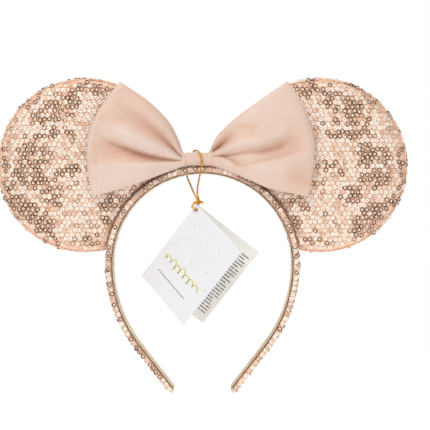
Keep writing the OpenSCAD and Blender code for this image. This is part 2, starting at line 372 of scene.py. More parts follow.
# Dark sewing threads that also stand for the shadow in the narrow gaps beside them: partly thread, partly painted
# shadow.
SEAM_THREAD_AND_SHADOW = thread_material("seam_thread_and_shadow", linear(116, 84, 62))
BASE_THREAD_AND_SHADOW = thread_material("base_thread_and_shadow", linear(156, 99, 68))
THREAD = thread_material("tack_thread", linear(190, 146, 120))
GOLD = gold_cord_material()
CARD = card_material("card_white", linear(230, 231, 235))
CARD_BACK = card_material("card_cream", linear(227, 224, 218))
FOIL = grained("gold_foil", linear(216, 192, 70), 0.4, (1, 2), FOIL_STOPS, (0.3, 2, 0.01), metallic=0.35)
INK = grained("grey_ink", linear(138, 135, 136), 0.6, (0.5, 2), INK_STOPS)
CORE = grained("moulded_core", linear(236, 234, 228), 0.45, (6, 3), CORE_STOPS, (0.6, 2, 0.01))
FELT = fibre_material("stiff_felt", linear(214, 200, 178), 0.7, 0.12)
WADDING = fibre_material("wadding", linear(244, 243, 240), 1.5, 0.5)
FLOOR = grained("floor", linear(250, 250, 250), 0.9, (200, 2), FLOOR_STOPS, **FLOOR_GLOW)

# ---------- mesh helpers ----------


def add_mesh(name, verts, faces, mats, face_mats=None):
    mesh = bpy.data.meshes.new(name)
    mesh.from_pydata([tuple(v) for v in verts], [], [tuple(int(i) for i in f) for f in faces])
    for mat in mats if isinstance(mats, (list, tuple)) else [mats]:
        mesh.materials.append(mat)
    if face_mats is not None:
        mesh.polygons.foreach_set("material_index", np.array(face_mats, dtype=np.int32))
    mesh.polygons.foreach_set("use_smooth", [len(f) < 5 for f in faces])
    mesh.update()
    piece = bpy.data.objects.new(name, mesh)
    bpy.context.scene.collection.objects.link(piece)
    return piece


def ring_faces(rings, around, closed=False):
    """Quads between rings of points, numbered ring by ring."""
    i, k = np.meshgrid(np.arange(rings if closed else rings - 1), np.arange(around), indexing="ij")
    j, n = (i + 1) % rings, (k + 1) % around
    return np.stack([i * around + k, i * around + n, j * around + n, j * around + k], axis=-1).reshape(-1, 4)


def tube(rings):
    """Vertices and faces of a tube with flat ends, from an array of rings of points."""
    count, around = rings.shape[:2]
    faces = [list(f) for f in ring_faces(count, around)]
    faces.append(list(range(around))[::-1])
    faces.append([(count - 1) * around + k for k in range(around)])
    return rings.reshape(-1, 3), faces


def join_parts(parts):
    """One list of vertices and faces from several."""
    verts, faces, start = [], [], 0
    for v, f in parts:
        verts.append(np.asarray(v, float))
        faces += [[i + start for i in face] for face in f]
        start += len(v)
    return np.concatenate(verts), faces


def carried_frames(path):
    """Tangents and two normals at each point of a path, turned as little as possible."""
    path = np.asarray(path, float)
    tangents = np.gradient(path, axis=0)
    tangents /= np.linalg.norm(tangents, axis=1)[:, None]
    normal = np.cross(tangents[0], [0.3, 0.2, 1.0])
    normals = []
    for t in tangents:
        normal = normal - t * (normal @ t)
        normal = normal / np.linalg.norm(normal)
        normals.append(normal)
    normals = np.array(normals)
    return tangents, normals, np.cross(tangents, normals)


def path_tube(path, radius, sides=12, lobes=0, lobe=0.0, pitch=1.0, taper=0):
    """A tube along a path. With lobes, its section has that many, and they twist once every pitch metres."""
    path = np.asarray(path, float)
    _, n, b = carried_frames(path)
    run = np.concatenate([[0], np.cumsum(np.linalg.norm(np.diff(path, axis=0), axis=1))])
    angle = np.linspace(0, 2 * math.pi, sides, endpoint=False)
    swell = 1 + lobe * np.cos(lobes * (angle[None, :] - 2 * math.pi * run[:, None] / pitch))
    r = radius * swell
    if taper:
        ends = np.minimum(run, run[-1] - run) / taper
        r = r * np.sqrt(np.clip(1 - (1 - np.clip(ends, 0, 1)) ** 2, 0.04, 1))[:, None]
    rings = path[:, None, :] + r[..., None] * (
        np.cos(angle)[None, :, None] * n[:, None, :] + np.sin(angle)[None, :, None] * b[:, None, :]
    )
    return tube(rings)


def ride(piece, body):
    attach(piece, body)
    return piece


# ---------- the gold cord ----------

# From its knot up in front of the bow's knot, over it and back down behind the band, in mm
LOOP_ROUTE = [(-3.1, -5.2, -11.5), (-2.4, -7.8, -5.6), (-1.2, -10.2, 0), (-0.3, -11.1, 4.6), (-0.4, -11, 8.8)]
LOOP_ROUTE += [(-1.6, -9.5, 12.5), (-3.2, -6.8, 14), (-4.8, -3.2, 14), (-6.2, 0.8, 12.6), (-7.6, 5, 9.4)]
LOOP_ROUTE += [(-9.1, 8.2, 5.2), (-10.1, 8.7, 1), (-9.3, 8, -2.4), (-7.7, 5.6, -6), (-5.8, 1.6, -10.4)]
# The eye on each side of the card's hole: mm out from the fold, degrees round it, mm up along it
EYE_DOWN = [(1.3, -125, 3.3), (2.0, -124, 1.9), (2.3, -120, 0.7), (2.5, -105, 0.1), (2.7, -85, 0)]
EYE_UP = [(2.8, 74, 0.9), (2.4, 84, 2.3), (1.4, 90, 3.6)]
TWIST_PITCH = 2.6 * MM
STRANDS = 3


def turned_out(degrees):
    """The way that points out from the tag's fold, turned from straight down."""
    a = math.radians(degrees)
    return DOWN_IN_FOLD * math.cos(a) + ACROSS_FOLD * math.sin(a)


def by_fold(r, degrees, h):
    """A point r out from the tag's fold, turned from straight down, and h along the fold from the eye."""
    return EYE + r * turned_out(degrees) + h * FOLD_AXIS


def near_knot(x, y, z):
    """A point so many mm from the middle of the cord's knot."""
    return STRING_KNOT + Vector((x, y, z)) * MM


def twisted(path, **extra):
    return path_tube(path, CORD_D / 2 * 0.93, 18, STRANDS, 0.16, TWIST_PITCH, **extra)


def cord_piece(name, verts, faces, node):
    piece = ride(add_mesh(name, verts, faces, GOLD), "tag_string")
    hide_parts(node)
    return piece


def eye_path():
    """Down from the knot, round through the hole in both leaves, and back up."""
    top = KNOT_UP - 0.4 * MM
    route = [by_fold(0.5 * MM, -125, top)]
    route += [by_fold(r * MM, a, h * MM) for r, a, h in EYE_DOWN]
    route += [by_fold(HOLE_IN, -65 + 17.5 * i, 0) for i in range(8)]
    route += [by_fold(r * MM, a, h * MM) for r, a, h in EYE_UP]
    return spline(route + [by_fold(0.5 * MM, 90, top)], 120)


def knot_parts():
    """An overhand knot: the cord turns about itself in a small trefoil, with two cut ends."""
    turns = []
    for a in np.linspace(0, 2 * math.pi, 90):
        wrap = 0.85 * MM * (1 + 0.35 * math.cos(3 * a))
        off = Vector((wrap * math.cos(2 * a), wrap * math.sin(2 * a), 0.9 * MM * math.sin(3 * a)))
        turns.append(STRING_KNOT + off)
    parts = [path_tube(turns, CORD_D / 2 * 0.9, 14, STRANDS, 0.14, TWIST_PITCH)]
    for side in (-1, 1):
        end = [near_knot(side * 0.4, -0.1, 0.2), near_knot(side * 1.6, -0.3, 0.3)]
        end += [near_knot(side * 2.4, -0.4, -0.1), near_knot(side * 3.0, -0.5, -1.0)]
        parts.append(twisted(spline(end, 36), taper=0.5 * MM))
    return parts


def build_string():
    ends = [near_knot(0.3, -0.4, 0.7)], [near_knot(-0.3, 0.4, 0.7)]
    path = spline(ends[0] + [Vector(p) * MM for p in LOOP_ROUTE] + ends[1], 320)
    loop = cord_piece("tag_cord", *twisted(path), "tag_string_loop")
    eye = cord_piece("tag_cord_eye", *twisted(eye_path()), "tag_string_eye")
    knot = cord_piece("tag_cord_knot", *join_parts(knot_parts()), "tag_string_knot")


build_string()

# ---------- the band ----------

WANDER_ALONG = 260  # how quickly a line of thread strays along its run
WANDER_ASIDE = 900  # sets the straying of the two edges apart


def band_frame(s):
    """Inner-face place, outward normal and run direction of the right half, s metres from the crown's middle."""
    s = np.asarray(s, float)
    turn = np.clip(s, 0, CROWN_S) / CROWN_R
    curl = np.clip(s - CROWN_S, 0, LEG_S) / LEG_R
    rest = np.clip(s - CROWN_S - LEG_S, 0, None)
    out = np.stack([np.sin(turn + curl), 0 * s, np.cos(turn + curl)], -1)
    along = np.stack([np.cos(turn + curl), 0 * s, -np.sin(turn + curl)], -1)
    x = CROWN_R * np.sin(turn) + LEG_R * (np.cos(curl) - 1)
    z = CROWN_R * (np.cos(turn) - 1) - LEG_R * np.sin(curl)
    return np.stack([x, 0 * s, z], -1) + rest[..., None] * along, out, along


def seam_height(s):
    """Height on the band's edge where cover and lining are sewn together, lowest over the crown."""
    return 0.4 * MM + 0.5 * MM * smoothstep(s, CROWN_S, CROWN_S + 32 * MM)


def seam_radius(s):
    """Radius of the sewing line between cover and lining, finest over the crown."""
    return 0.16 * MM + 0.06 * MM * smoothstep(s, 0.6 * CROWN_S, 0.95 * CROWN_S)


def rounded(angle, half_y, half_n, power):
    """A point on a rounded oblong, squarer as power grows."""
    c, s = np.cos(angle), np.sin(angle)
    return half_y * np.sign(c) * np.abs(c) ** (2 / power), half_n * np.sign(s) * np.abs(s) ** (2 / power)


def blend_leg(piece):
    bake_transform(piece)
    return piece


def band_strip(s_values, low_n, high_n, half_y, power, tip_round, ripple, ripple_size=3 * MM):
    """Rings of a soft strip that follows the right half of the band. Its heights may change along it."""
    place, out, _ = band_frame(s_values)
    low_n, high_n = low_n + 0 * s_values, high_n + 0 * s_values
    centre, half = (low_n + high_n)[:, None, None] / 2, (high_n - low_n)[:, None, None] / 2
    angle = np.linspace(0, 2 * math.pi, 44, endpoint=False)
    y, n = rounded(angle, 1, 1, power)
    left = np.clip((s_values[-1] - s_values) / tip_round, 0, 1)
    shrink = np.sqrt(np.clip(1 - (1 - left) ** 2, 0.01, 1))
    rings = place[:, None, :] + out[:, None, :] * (centre + half * shrink[:, None, None] * n[None, :, None])
    rings[..., 1] += (half_y - (1 - shrink[:, None]) * 1.6 * MM) * y[None, :]
    for ring, o in zip(rings, out):
        for p in ring:
            p += (Vector(o) * noise.noise(Vector(p) / ripple_size)) * ripple
            p[1] += ripple * 0.7 * noise.noise(Vector(p) / ripple_size + Vector((7, 3, 5)))
    return rings


def outward(faces, side):
    return faces if side > 0 else [list(f)[::-1] for f in faces]


def band_line(s_values, y, n, radius, stitch, wander):
    """A run of thread along the right half of the band. Its thickness swells once every stitch."""
    place, out, _ = band_frame(s_values)
    path = place + n[:, None] * out
    path[:, 1] = y
    for point, s in zip(path, s_values):
        strays = [noise.noise(Vector((s * WANDER_ALONG, k, y * WANDER_ASIDE))) for k in (1, 2, 3)]
        point += [wander * stray for stray in strays]
    _, a, b = carried_frames(path)
    swell = radius * (0.3 + 0.7 * np.abs(np.sin(math.pi * s_values / stitch)) ** 0.6)
    ring = np.linspace(0, 2 * math.pi, 8, endpoint=False)
    spokes = np.cos(ring)[None, :, None] * a[:, None, :] + np.sin(ring)[None, :, None] * b[:, None, :]
    return path[:, None, :] + swell[:, None, None] * spokes


def band_part(name, side, tubes, mat):
    """A piece made of tubes given for the band's right half, mirrored to its side, with its transform baked in."""
    parts = []
    for rings in tubes:
        verts, faces = tube(rings * np.array([side, 1, 1]))
        parts.append((verts, outward(faces, side)))
    return blend_leg(add_mesh(name, *join_parts(parts), mat))


def build_band():
    s = np.linspace(0, BAND_S + 0.3 * MM, 230)
    cover = band_strip(s, seam_height(s) - 0.1 * MM, WRAP_OUT + 0.1 * MM, BAND_HALF, 3.4, 3 * MM, 0.22 * MM)
    s = np.linspace(0, BAND_S - 1.2 * MM, 200)
    ribbon = band_strip(s, 0.02 * MM, seam_height(s), LINING_HALF + 0.5 * MM, 2.6, 2 * MM, 0.1 * MM)
    s = np.linspace(0, BAND_S - 1.5 * MM, 560)
    height = seam_height(s) - 0.1 * MM
    edges = (-BAND_HALF + 0.35 * MM, BAND_HALF - 0.35 * MM)
    # The dark sewing lines along both edges of the band, partly thread and partly painted shadow in the gap between
    # cover and lining.
    runs = [band_line(s, y, height, seam_radius(s), 2.1 * MM, 0.35 * MM) for y in edges]
    for side, name in SIDES:
        wrap = band_part(f"{name}_band_wrap", side, [cover], BAND_NET)
        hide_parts(f"{name}_leg_cover", *(["band_cover_crown"] if side > 0 else []))
        lining = band_part(f"{name}_band_lining", side, [ribbon], LINING)
        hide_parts(f"{name}_leg_lining", *(["band_lining_crown"] if side > 0 else []))
        band_part(f"{name}_band_seam_and_shadow", side, runs, SEAM_THREAD_AND_SHADOW)


# ---------- sequins ----------

SEQUIN_R = 1.44 * MM
SEQUIN_HOLE = 0.36 * MM
SEQUIN_FLAT = 0.8 * MM
SEQUIN_RISE = 0.3 * MM
SEQUIN_SHEET = 0.07 * MM
SEQUIN_PITCH = 3.0 * MM
SEQUIN_SIDES = 12
SEQUIN_MATS = [CREAM_BRIGHT_REFLECTION, ROSE, TAN, BRONZE_DARK_REFLECTION]
ROW_SHARE = 0.866  # of the pitch, between rows whose sequins sit in each other's gaps
FIRST_UNDER_EAR = math.radians(18)
LAST_UNDER_EAR = math.radians(82.5)

# Patches on the left ear whose sequins are given dark tones, painted dark reflections of sequins that the cloth's
# undulation tilts towards dark surroundings: middle x, middle z, half length, half width (mm), tilt (degrees)
DARK_REFLECTION_PATCHES = [
    (-66, 52, 12, 4.5, -10),
    (-87, 39.5, 14, 8, 30),
    (-89, 24, 13, 3, 0),
    (-103, 11.5, 10, 7, 0),
    (-104, -3, 12, 5.5, -10),
    (-80, 2.5, 8.5, 2.8, 12),
    (-91, -13, 6.5, 6.5, 0),
    (-122, 7, 2.8, 11, 0),
    (-117.5, -14.5, 9, 3.5, -62),
    (-100, -28, 16, 6, -44),
    (-70, -41.5, 6, 2.4, 5),
    (-56, -18, 9, 3.6, 15),
    (-56, -29.5, 6.5, 3, 0),
    (-104, 44.5, 16, 2, 40),
]


def sequin_profile():
    """Radius and height of a cupped sequin's section, and which of its bands belong to the rim."""
    top = [(SEQUIN_HOLE, 0.0), (SEQUIN_FLAT, 0.0), (SEQUIN_R, SEQUIN_RISE)]
    back = [(r, h - SEQUIN_SHEET) for r, h in reversed(top)]
    return np.array(top + back), [False, True, True, True, False, False]


def dark_reflection(x, z):
    """How deep in a patch of painted dark reflection a place lies, 0 to 1, the same on both ears."""
    x = -abs(x) / MM
    z = z / MM
    deepest = 0.0
    for cx, cz, long, short, tilt in DARK_REFLECTION_PATCHES:
        a = math.radians(tilt)
        along = (x - cx) * math.cos(a) + (z - cz) * math.sin(a)
        over = (z - cz) * math.cos(a) - (x - cx) * math.sin(a)
        deepest = max(deepest, 1.35 - math.hypot(along / long, over / short))
    return min(1.0, max(0.0, deepest * 1.6))


def sequin_kind(rng, dark):
    """The painted tone of one sequin, 0 cream, 1 rose, 2 tan, 3 bronze: the larger dark is, the likelier a tan or
    bronze one, a painted dark reflection.
    """
    roll = rng.random()
    if roll < 0.02 + 0.66 * dark:
        return 3
    if roll < 0.09 + 0.75 * dark:
        return 2
    return 1 if rng.random() < 0.2 else 0


def sequin_cloth(name, spots):
    """One mesh of sequins. A spot is a place, the way it faces, and its kind."""
    profile, is_rim = sequin_profile()
    count = len(profile)
    angle = np.linspace(0, 2 * math.pi, SEQUIN_SIDES, endpoint=False)
    radius, height = profile[:, :1], profile[:, 1:]
    flat = [radius * np.cos(angle)[None, :], radius * np.sin(angle)[None, :]]
    unit = np.stack(flat + [np.repeat(height, SEQUIN_SIDES, axis=1)], -1).reshape(-1, 3)
    unit_faces = ring_faces(count, SEQUIN_SIDES, closed=True)
    rims = np.repeat(np.array(is_rim), SEQUIN_SIDES)
    verts, faces, mats = [], [], []
    for i, (place, facing, kind, size) in enumerate(spots):
        turn = np.array(Vector((0, 0, 1)).rotation_difference(Vector(facing)).to_matrix())
        verts.append(unit * size @ turn.T + np.array(place))
        faces.append(unit_faces + i * len(unit))
        # The middle of a cream, tan or bronze sequin is cream: a painted bright reflection from its flat face, inside
        # the rim's painted tone.
        middle = 1 if kind == 1 else 0  # only a rose sequin is rose inside its rim; the rest are cream
        mats.append(np.where(rims, kind, middle))
    return add_mesh(name, np.concatenate(verts), np.concatenate(faces), SEQUIN_MATS, np.concatenate(mats))


def tilted(rng, facing, most):
    """A direction near facing, up to about most radians off it."""
    off = Vector((rng.uniform(-1, 1), rng.uniform(-1, 1), rng.uniform(-1, 1))) * most
    return (Vector(facing).normalized() + off).normalized()


def band_rows():
    """Rows of sequins round the band's section: height, place across it, share faced aside and up, share kept."""
    edge_n = WRAP_OUT / 2 + 0.45 * MM
    rows = []
    for face in (-1, 1):
        rows.append((edge_n, face * (BAND_HALF + 0.08 * MM), face, 0.0, 0.93))
        rows.append((WRAP_OUT - 0.75 * MM, face * (BAND_HALF - 0.1 * MM), face * 0.92, 0.35, 0.35))
    for y in np.linspace(-BAND_HALF + 1.8 * MM, BAND_HALF - 1.8 * MM, 4):
        rows.append((WRAP_OUT + 0.05 * MM, y, y / BAND_HALF * 0.25, 1.0, 0.97))
    return rows


def band_dark_reflection(side, s, up):
    """How many of the band's sequins are given dark tones, painted dark reflections: most on the crown's edges, more
    on the left leg than the right.
    """
    if up == 1:
        return 0.15
    if s < CROWN_S:
        return 0.6
    return 0.08 if side > 0 else 0.42


def under_ear_or_knot(s, x, y):
    """Whether an ear's base or the bow's knot sits on a place of the band's outer face."""
    under_ear = FIRST_UNDER_EAR < min(s, CROWN_S) / CROWN_R < LAST_UNDER_EAR and s < CROWN_S
    return under_ear or (abs(x - KNOT.x) < KNOT_HALF.x + 1.6 * MM and y < 1.8 * MM)


def band_spots(side, rng):
    """Sequins over the band's top and edges, none where the ears, bow and knot sit."""
    spots = []
    for row, (n, y, aside, up, kept) in enumerate(band_rows()):
        s = (0.2 + 0.5 * (row % 2)) * SEQUIN_PITCH
        while s < BAND_S - 1.4 * MM:
            at = s + rng.uniform(-0.4, 0.4) * MM
            s += SEQUIN_PITCH * rng.uniform(0.95, 1.15)
            place, out, _ = band_frame(at)
            if (up > 0.3 and under_ear_or_knot(at, side * place[0], y)) or rng.random() > kept:
                continue
            where = place + out * (n + rng.uniform(-0.35, 0.35) * MM * (1 - up))
            where[1] = y + rng.uniform(-0.2, 0.2) * MM * up
            way = Vector(out * up) + Vector((0, aside, 0))
            where[0] *= side
            way.x *= side
            kind = sequin_kind(rng, band_dark_reflection(side, at, up))
            lean = 0.05 if up == 1 else 0.2
            spots.append((where, tilted(rng, way, lean), kind, rng.uniform(0.86, 0.95)))
    return spots


def build_band_sequins():
    for side, name in SIDES:
        rng = random.Random(11 + side)
        blend_leg(sequin_cloth(f"{name}_band_sequins", band_spots(side, rng)))


# ---------- the ears ----------

EAR_RIM = 2.2 * MM  # round edge of the stuffed ear
BASE_TUCK = 1.2 * MM  # how much of its base is turned under
SIM_SCALE = 10  # the cloth is swollen at this scale, where its settings behave


def ear_half_thickness(x, z):
    """Half the stuffed ear's thickness at a place in its plane: round at the rim, full down to the band."""
    out = np.hypot(x - EAR_X, z - EAR_Z)
    near = np.clip(EAR_R - out, 0, EAR_RIM)
    rim = np.sqrt(np.clip(EAR_RIM**2 - (EAR_RIM - near) ** 2, 0, None))
    dome = (EAR_HALF - EAR_RIM) * (1 - np.clip(out / (EAR_R - EAR_RIM), 0, 1) ** 3)
    tucked = np.clip((np.hypot(x, z + CROWN_R) - BASE_R) / BASE_TUCK, 0, 1)
    return (rim + dome * smoothstep(EAR_R - out, 0, 4 * MM)) * np.sqrt(1 - (1 - tucked) ** 2)


def ear_outline(t):
    """A point on the right ear's outline, t from 0 to 1: round the circle, then back along the band."""
    reach = math.hypot(EAR_X, EAR_Z + CROWN_R)
    bearing = math.atan2(EAR_Z + CROWN_R, EAR_X)
    half_ear = math.acos((reach**2 + EAR_R**2 - BASE_R**2) / (2 * reach * EAR_R))
    half_base = math.acos((reach**2 + BASE_R**2 - EAR_R**2) / (2 * reach * BASE_R))
    round_len = (2 * math.pi - 2 * half_ear) * EAR_R
    base_len = 2 * half_base * BASE_R
    way = t * (round_len + base_len)
    if way < round_len:
        a = bearing + math.pi + half_ear + way / EAR_R
        return np.array([EAR_X + EAR_R * math.cos(a), EAR_Z + EAR_R * math.sin(a)])
    a = bearing + half_base - (way - round_len) / BASE_R
    return np.array([BASE_R * math.cos(a), BASE_R * math.sin(a) - CROWN_R])


def ear_form(shrink):
    """The right ear as a plain closed lens, shrunk towards its middle by the given share."""
    around, rings = 150, 26
    outline = np.array([ear_outline(k / around) for k in range(around)])
    middle = np.array([EAR_X, EAR_Z])
    layers = []
    steps = np.sin(np.linspace(0, math.pi / 2, rings + 1)[1:])
    for face in (-1, 1):
        for t in steps if face < 0 else steps[:-1]:
            flat = middle + (outline - middle) * t
            y = face * ear_half_thickness(flat[:, 0], flat[:, 1]) * (1 if t < 1 else 0)
            flat = middle + (flat - middle) * (1 - shrink)
            layers.append(np.stack([flat[:, 0], y * (1 - 2 * shrink), flat[:, 1]], -1))
    verts = list(np.concatenate(layers))
    poles = [len(verts), len(verts) + 1]
    verts += [np.array([EAR_X, face * EAR_HALF * (1 - 2 * shrink), EAR_Z]) for face in (-1, 1)]
    faces = [list(f) for f in ring_faces(rings, around)]
    back = rings * around
    faces += [list(f + back)[::-1] for f in ring_faces(rings - 1, around)]
    rim, last = (rings - 1) * around, back + (rings - 2) * around
    for k in range(around):
        n = (k + 1) % around
        faces.append([rim + k, rim + n, last + n, last + k])
        faces.append([poles[0], n, k])
        faces.append([poles[1], back + k, back + n])
    return verts, faces


def evaluated_mesh(piece):
    bpy.context.view_layer.update()
    graph = bpy.context.evaluated_depsgraph_get()
    return bpy.data.meshes.new_from_object(piece.evaluated_get(graph))


def swap_mesh(piece, mesh):
    """Gives a piece a new mesh and clears its modifiers."""
    piece.modifiers.clear()
    old = piece.data
    name = old.name
    if not mesh.materials:
        for mat in old.materials:
            mesh.materials.append(mat)
    piece.data = mesh
    bpy.data.meshes.remove(old)
    mesh.name = name


def coordinates(mesh):
    flat = np.zeros(len(mesh.vertices) * 3)
    mesh.vertices.foreach_get("co", flat)
    return flat.reshape(-1, 3)


def set_coordinates(mesh, points):
    mesh.vertices.foreach_set("co", np.asarray(points, float).ravel())
    mesh.update()


def swollen(piece, voxel, pressure, grow, cap, held, frames=20):
    """Remeshes a closed form and swells it as cloth round a filling, each point moving at most cap metres.

    held tells which points the seam holds still.
    """
    remesh = piece.modifiers.new("remesh", "REMESH")
    remesh.mode = "VOXEL"
    remesh.voxel_size = voxel
    swap_mesh(piece, evaluated_mesh(piece))
    before = coordinates(piece.data)
    set_coordinates(piece.data, before * SIM_SCALE)
    cloth = piece.modifiers.new("cloth", "CLOTH")
    cloth.settings.use_pressure = True
    cloth.settings.uniform_pressure_force = pressure
    cloth.settings.shrink_min = -grow
    cloth.settings.effector_weights.gravity = 0
    seam = piece.vertex_groups.new(name="seam")
    seam.add([int(i) for i in np.nonzero(held(before))[0]], 1.0, "REPLACE")
    cloth.settings.vertex_group_mass = "seam"
    cloth.settings.quality = 6
    cloth.collision_settings.use_collision = False
    cloth.point_cache.frame_end = frames
    for frame_number in range(1, frames + 1):
        bpy.context.scene.frame_set(frame_number)
    mesh = evaluated_mesh(piece)
    after = coordinates(mesh) / SIM_SCALE
    bpy.data.meshes.remove(mesh)
    piece.modifiers.clear()
    piece.vertex_groups.clear()
    bpy.context.scene.frame_set(1)
    moved = after - before
    far = np.linalg.norm(moved, axis=1)[:, None]
    set_coordinates(piece.data, before + moved * np.minimum(1, cap / np.maximum(far, 1e-9)))
    smooth = piece.modifiers.new("subdivision", "SUBSURF")
    smooth.levels = 1
    smooth.render_levels = 1
    swap_mesh(piece, evaluated_mesh(piece))
    piece.data.polygons.foreach_set("use_smooth", [True] * len(piece.data.polygons))
    piece.data.update()


def puckered(points):
    """Pulls the skin in and out in small gathers beside the rim seam."""
    for p in points:
        a = math.atan2(p[2] - EAR_Z, p[0] - EAR_X)
        edge = EAR_R - math.hypot(p[0] - EAR_X, p[2] - EAR_Z)
        fade = math.exp(-max(edge, 0) / (3.5 * MM))
        gather = noise.noise(Vector((14 * math.cos(a), 14 * math.sin(a), 0.5 if p[1] < 0 else 9.5)))
        p[1] *= 1 + 0.35 * fade * gather
        lump = noise.noise(Vector(p) / (9 * MM)) * 0.35 * MM
        p[1] += math.copysign(1, p[1]) * lump * (1 - fade)
    return points


def spot_on(side, place, way, kind, size):
    """A spot given on the right ear, mirrored if it is for the left."""
    return (side * place.x, place.y, place.z), (side * way.x, way.y, way.z), kind, size


def ear_spots(skin_tree, face, side, rng):
    """Sequins over one face of an ear, front (-1) or back (1)."""
    spots = []
    for row in range(int(2 * EAR_R / (SEQUIN_PITCH * ROW_SHARE)) + 2):
        z = EAR_Z - EAR_R + row * SEQUIN_PITCH * ROW_SHARE
        x = EAR_X - EAR_R + (row % 2) * SEQUIN_PITCH / 2
        while x < EAR_X + EAR_R:
            px, pz = x + rng.uniform(-0.45, 0.45) * MM, z + rng.uniform(-0.45, 0.45) * MM
            x += SEQUIN_PITCH
            from_rim = EAR_R - math.hypot(px - EAR_X, pz - EAR_Z)
            from_base = math.hypot(px, pz + CROWN_R) - BASE_R
            bare = 2.0 * MM + 1.0 * MM * noise.noise(Vector((px, pz, 0)) / (15 * MM))
            if from_rim < bare or from_base < 1.3 * MM or rng.random() < 0.006:
                continue
            hit, facing, _, _ = skin_tree.ray_cast(Vector((px, face * 40 * MM, pz)), Vector((0, -face, 0)))
            if hit is None:
                continue
            hit = hit + facing * 0.12 * MM
            kind = sequin_kind(rng, dark_reflection(px, pz))
            way = tilted(rng, facing, 0.13)
            spots.append(spot_on(side, hit, way, kind, rng.uniform(0.92, 1.03)))
    return spots


def rim_spots(side, rng):
    """Sequins that stand round the ear's edge, few of them along the lower outer stretch."""
    spots = []
    t = 0.0
    while t < 1:
        x, z = ear_outline(t)
        t += rng.uniform(0.005, 0.010)
        out = Vector((x - EAR_X, 0, z - EAR_Z)).normalized()
        bare = smoothstep(-out.z, 0.45, 0.8)
        if math.hypot(x, z + CROWN_R) < BASE_R + 3 * MM or rng.random() < 0.15 + 0.6 * bare:
            continue
        lean = rng.choice((-1, 1)) * rng.uniform(0.35, 1.6)
        way = (out + Vector((0, lean, 0))).normalized()
        place = Vector((x, 0, z)) - out * 1.3 * MM + way * 1.75 * MM
        # Standing sequins round the edge take more painted dark reflection than those lying flat.
        kind = sequin_kind(rng, 0.3 + 0.7 * dark_reflection(x, z))
        way = tilted(rng, way, 0.3)
        spots.append(spot_on(side, place, way, kind, rng.uniform(0.88, 1.0)))
    return spots


def ear_edge(points):
    """Distance of points in from the right ear's outline."""
    out = np.hypot(points[:, 0] - EAR_X, points[:, 2] - EAR_Z)
    return np.minimum(EAR_R - out, np.hypot(points[:, 0], points[:, 2] + CROWN_R) - BASE_R)


def build_ears():
    skin = add_mesh("right_ear_skin", *ear_form(0.004), BACKING)
    swollen(skin, 1.8 * MM, 5.0, 0.03, 1.4 * MM, lambda p: ear_edge(p) < 2.4 * MM)
    set_coordinates(skin.data, puckered(coordinates(skin.data)))
    mirror = skin.copy()
    mirror.data = skin.data.copy()
    mirror.name = "left_ear_skin"
    bpy.context.scene.collection.objects.link(mirror)
    set_coordinates(mirror.data, coordinates(mirror.data) * np.array([-1, 1, 1]))
    mirror.data.flip_normals()
    corners = [tuple(p.vertices) for p in skin.data.polygons]
    tree = BVHTree.FromPolygons([tuple(c) for c in coordinates(skin.data)], corners)
    for (side, name), piece in zip(SIDES, (skin, mirror)):
        ride(piece, "band")
        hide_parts(f"{name}_ear_front_panel", f"{name}_ear_back_panel")
        rng = random.Random(40 + side)
        front = ear_spots(tree, -1, side, rng) + rim_spots(side, rng)
        ride(sequin_cloth(f"{name}_ear_front_sequins", front), "band")
        ride(sequin_cloth(f"{name}_ear_back_sequins", ear_spots(tree, 1, side, rng)), "band")
        build_ear_seams(side, name)
        build_ear_wadding(side, name)


def build_ear_wadding(side, name):
    """The filling, a little smaller than its skin."""
    verts, faces = ear_form(0.04)
    verts = np.array(verts) * np.array([side, 1, 1])
    filling = add_mesh(f"{name}_ear_wadding", verts, outward(faces, side), WADDING)
    ride(filling, "band")
    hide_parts(f"{name}_ear_front_wadding", f"{name}_ear_back_wadding")


def build_ear_seams(side, name):
    """The rolled seam round the ear's edge, and the dark stitching that holds its base to the band, partly thread and
    partly painted shadow in the crevice between ear and band.
    """
    rim = []
    for t in np.linspace(0.001, 0.999, 700):
        x, z = ear_outline(t)
        if math.hypot(x, z + CROWN_R) > BASE_R + 0.4 * MM:
            out = Vector((x - EAR_X, 0, z - EAR_Z)).normalized()
            wobble = 0.25 * MM * noise.noise(Vector((x, 0, z)) / (4 * MM))
            off = wobble - 0.15 * MM
            rim.append((side * (x + out.x * off), wobble * 1.6, z + out.z * off))
    verts, faces = path_tube(rim, 0.62 * MM, 10, 2, 0.18, 3.2 * MM)
    ride(add_mesh(f"{name}_ear_rim_seam", verts, faces, BACKING), "band")

    turns = np.radians(np.linspace(0.5, 81.2, 340))
    over = BASE_R + 2 * BASE_TUCK
    skin_y = ear_half_thickness(over * np.sin(turns), over * np.cos(turns) - CROWN_R) + 0.2 * MM
    beside_ear = smoothstep(turns, 0.3, 0.5)
    parts = []
    for face in (-1, 1):
        line_y = face * (6.2 * MM * (1 - beside_ear) + skin_y * beside_ear)
        line = np.stack([side * BASE_R * np.sin(turns), line_y, BASE_R * np.cos(turns) - CROWN_R], -1)
        for p in line:
            p += np.array([0.35 * MM * noise.noise(Vector(p) / (3 * MM) + Vector((k, 0, 0))) for k in (1, 4, 8)])
        parts.append(path_tube(line, 0.34 * MM, 8, 2, 0.35, 2.4 * MM))
    ride(add_mesh(f"{name}_ear_base_stitching_and_shadow", *join_parts(parts), BASE_THREAD_AND_SHADOW), "band")


# ---------- the bow ----------

